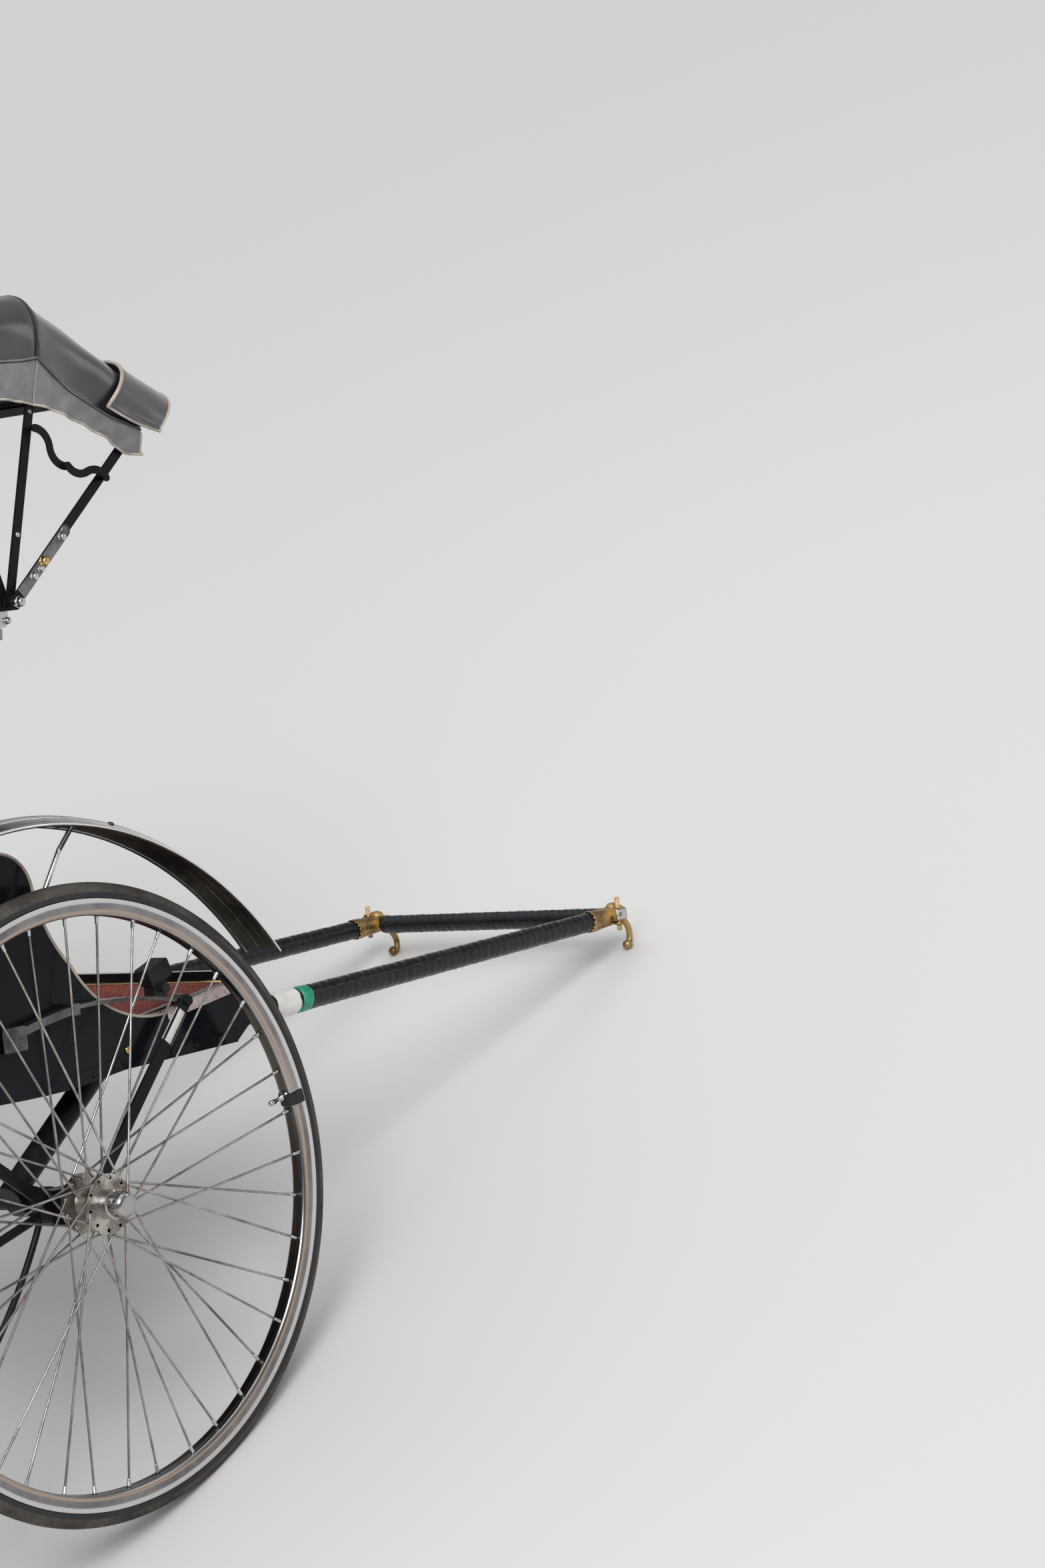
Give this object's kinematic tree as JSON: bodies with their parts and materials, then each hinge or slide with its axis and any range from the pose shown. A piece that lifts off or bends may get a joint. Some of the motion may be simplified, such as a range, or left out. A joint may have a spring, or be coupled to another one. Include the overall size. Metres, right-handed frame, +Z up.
{
  "type": "two-seat pulled rickshaw",
  "caption": "Hand-pulled passenger cart with spoked wheels, a lacquered body, two shafts with a cross bar and a folding hood, standing on its wheels and shaft feet.",
  "frame": {"origin": "middle of the footprint, on the ground", "axes": "+X forward to the shafts, +Y to the left, +Z up"},
  "size_m": [2.2193, 1.184, 2.034],
  "materials": {
    "tyre": "matt",
    "chrome": "polished",
    "stainless": "polished",
    "steel": "dull",
    "brass": "worn",
    "black_frame": "semi-gloss",
    "black_lacquer": "gloss",
    "black_plastic": "matt",
    "shaft_wrap": "taped",
    "carpet": "pile",
    "seat_cloth": "soft",
    "hood_cloth": "satin"
  },
  "bodies": {
    "carriage": {"arm_pad_left": "seat_cloth", "arm_pad_right": "seat_cloth", "axle": "black_frame", "axle_stay_left": "steel", "axle_stay_right": "steel", "back_board": "black_lacquer", "back_cushion": "seat_cloth", "cross_bar": "shaft_wrap", "fender_left": "stainless", "fender_right": "stainless", "floor_board": "black_lacquer", "floor_carpet": "carpet", "hood_arm_left": "chrome", "hood_arm_right": "chrome", "hood_curtain": "hood_cloth", "lamp_clamp": "black_plastic", "prop_leg_left": "black_frame", "prop_leg_right": "black_frame", "push_bar": "chrome", "rear_panel": "black_lacquer", "seat_box": "black_lacquer", "seat_cushion": "seat_cloth", "shaft_left": "shaft_wrap", "shaft_right": "shaft_wrap", "shaft_tip_left": "brass", "shaft_tip_right": "brass", "side_panel_left": "black_lacquer", "side_panel_right": "black_lacquer", "spring_left": "steel", "spring_right": "steel", "toe_board": "black_lacquer"},
    "wheel_right": {"tyre_right": "tyre", "rim_right": "chrome", "hub_right": "chrome", "hub_bearing_right": "chrome"},
    "wheel_left": {"tyre_left": "tyre", "rim_left": "chrome", "hub_left": "chrome", "hub_bearing_left": "chrome"},
    "hood_rear": {"hood_bow_rear": "black_frame", "hood_cover_rear": "hood_cloth"},
    "hood_third": {"hood_bow_third": "black_frame", "hood_cover_middle": "hood_cloth"},
    "hood_second": {"hood_bow_second": "black_frame", "hood_cover_front": "hood_cloth"},
    "hood_front": {"hood_bow_front": "black_frame", "hood_visor": "hood_cloth"},
    "strut_rear_right": {"hood_strut_rear_right": "black_frame"},
    "strut_front_right": {"hood_strut_front_right": "black_frame"},
    "strut_rear_left": {"hood_strut_rear_left": "black_frame"},
    "strut_front_left": {"hood_strut_front_left": "black_frame"}
  },
  "joints": [
    {"name": "wheel_right_spin", "type": "hinge", "parent": "carriage", "child": "wheel_right", "pos_m": [-0.547, -0.51, 0.55], "axis": [0, 1, 0], "continuous": true},
    {"name": "wheel_left_spin", "type": "hinge", "parent": "carriage", "child": "wheel_left", "pos_m": [-0.547, 0.51, 0.55], "axis": [0, 1, 0], "continuous": true},
    {"name": "hood_fold", "type": "hinge", "parent": "carriage", "child": "hood_rear", "pos_m": [-0.08367, 0, 1.47571], "axis": [0, -1, 0], "range_deg": [0, 44], "deforming": ["hood_curtain"]},
    {"name": "hood_third_fold", "type": "hinge", "parent": "hood_rear", "child": "hood_third", "pos_m": [-0.08367, 0, 1.47571], "axis": [0, -1, 0], "range_deg": [0, 26], "deforming": ["hood_cover_rear"]},
    {"name": "hood_second_fold", "type": "hinge", "parent": "hood_third", "child": "hood_second", "pos_m": [-0.08367, 0, 1.47571], "axis": [0, -1, 0], "range_deg": [0, 26], "deforming": ["hood_cover_middle"]},
    {"name": "hood_front_fold", "type": "hinge", "parent": "hood_second", "child": "hood_front", "pos_m": [-0.08367, 0, 1.47571], "axis": [0, -1, 0], "range_deg": [0, 26], "deforming": ["hood_cover_front"]},
    {"name": "strut_rear_right_turn", "type": "hinge", "parent": "hood_second", "child": "strut_rear_right", "pos_m": [0.11968, -0.46, 1.70571], "axis": [0, 1, 0], "range_deg": [0, 48.48]},
    {"name": "strut_rear_left_turn", "type": "hinge", "parent": "hood_second", "child": "strut_rear_left", "pos_m": [0.11968, 0.46, 1.70571], "axis": [0, 1, 0], "range_deg": [0, 48.48]},
    {"name": "strut_front_right_turn", "type": "hinge", "parent": "hood_front", "child": "strut_front_right", "pos_m": [0.21214, -0.46, 1.55785], "axis": [0, -1, 0], "range_deg": [0, 48.48]},
    {"name": "strut_front_left_turn", "type": "hinge", "parent": "hood_front", "child": "strut_front_left", "pos_m": [0.21214, 0.46, 1.55785], "axis": [0, -1, 0], "range_deg": [0, 48.48]}
  ],
  "couplings": [
    {"joint": "hood_third_fold", "follows": "hood_fold", "ratio": 0.59091},
    {"joint": "hood_second_fold", "follows": "hood_fold", "ratio": 0.59091},
    {"joint": "hood_front_fold", "follows": "hood_fold", "ratio": 0.59091},
    {"joint": "strut_rear_right_turn", "follows": "hood_fold", "ratio": 1.1018},
    {"joint": "strut_rear_left_turn", "follows": "hood_fold", "ratio": 1.1018},
    {"joint": "strut_front_right_turn", "follows": "hood_fold", "ratio": 1.1018},
    {"joint": "strut_front_left_turn", "follows": "hood_fold", "ratio": 1.1018}
  ]
}
